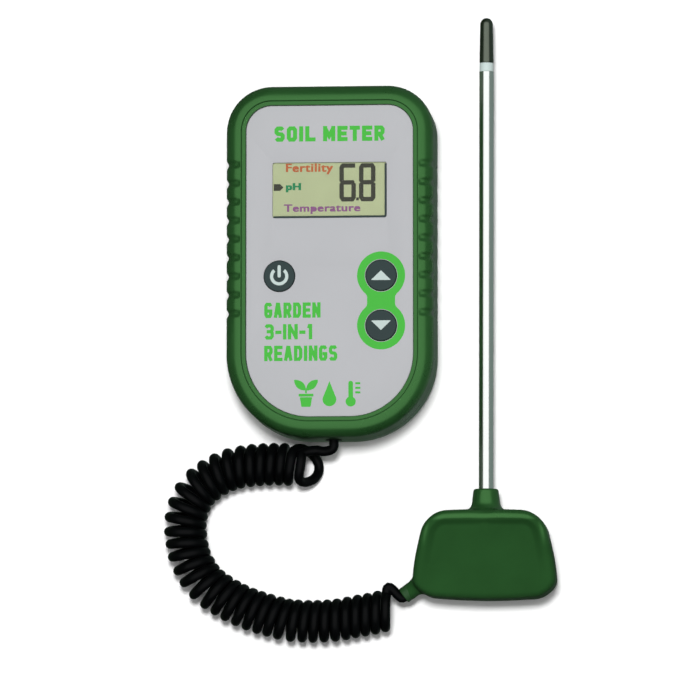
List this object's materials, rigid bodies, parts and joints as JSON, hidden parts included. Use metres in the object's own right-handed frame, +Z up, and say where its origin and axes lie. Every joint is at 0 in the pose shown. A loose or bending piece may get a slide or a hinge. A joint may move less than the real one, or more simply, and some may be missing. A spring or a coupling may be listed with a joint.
{
  "type": "soil meter",
  "caption": "Hand-held soil meter with a display, push buttons and a battery door, and a rod probe with a grip head on a curly cord.",
  "frame": {"origin": "middle of the meter's flat back, on the surface that it lies on", "axes": "+Z up out of the meter's face, +Y from the cord end to the display end and along the probe to its tip, +X to the reader's right, where the probe lies"},
  "size_m": [0.1418, 0.2246, 0.028],
  "materials": {
    "housing": "satin moulded",
    "faceplate": "fine matte",
    "lens": "clear polished",
    "display": "semi-gloss",
    "white_plastic": "satin",
    "contact_rubber": "matte",
    "board": "solder mask",
    "chip": "matte",
    "components": "matte",
    "steel": "bright",
    "button": "satin",
    "cell": "gloss wrap",
    "cord": "satin",
    "wire": "satin",
    "rod": "polished",
    "insulator": "semi-gloss",
    "electrode": "dark oxide",
    "brass": "machined"
  },
  "bodies": {
    "meter": {"rear_shell": "housing", "front_shell": "housing", "faceplate": "faceplate", "lcd_lens": "lens", "lcd_panel": "display", "lcd_holder": "white_plastic", "zebra_strips": "contact_rubber", "main_pcb": "board", "controller_chip": "chip", "pcb_components": "components", "snap_domes": "steel", "wire_plug": "white_plastic", "meter_wires": "wire", "cord_grommet": "cord", "battery_cell": "cell", "battery_spring": "steel", "battery_contacts": "steel", "shell_screws": "steel", "pcb_screws": "steel", "cord_lead_meter": "cord", "curly_cord": "cord"},
    "battery_door": {"battery_door": "housing"},
    "power_button": {"power_button": "button"},
    "up_button": {"up_button": "button"},
    "down_button": {"down_button": "button"},
    "probe": {"head_front": "housing", "head_rear": "housing", "probe_rod": "rod", "insulator_ring": "insulator", "probe_tip": "electrode", "core_rod": "brass", "insulating_sleeve": "white_plastic", "rod_collar": "brass", "solder_tags": "steel", "head_wires": "wire", "cord_outlet": "housing", "head_screws": "steel", "cord_lead_probe": "cord"}
  },
  "joints": [
    {"name": "power_press", "type": "slide", "parent": "meter", "child": "power_button", "axis": [0, 0, -1], "range_m": [0, 0.0009], "stiffness_N_per_m": 1000, "springref_m": -0.0003},
    {"name": "up_press", "type": "slide", "parent": "meter", "child": "up_button", "axis": [0, 0, -1], "range_m": [0, 0.0009], "stiffness_N_per_m": 1000, "springref_m": -0.0003},
    {"name": "down_press", "type": "slide", "parent": "meter", "child": "down_button", "axis": [0, 0, -1], "range_m": [0, 0.0009], "stiffness_N_per_m": 1000, "springref_m": -0.0003},
    {"name": "battery_door_hinge", "type": "hinge", "parent": "meter", "child": "battery_door", "pos_m": [0, -0.006, 0.001], "axis": [1, 0, 0], "range_deg": [0, 80]},
    {"name": "probe_pull", "type": "slide", "parent": "meter", "child": "probe", "axis": [0, -1, 0], "range_m": [0, 0.3], "stiffness_N_per_m": 4, "deforming": ["curly_cord", "cord_lead_meter"]}
  ]
}
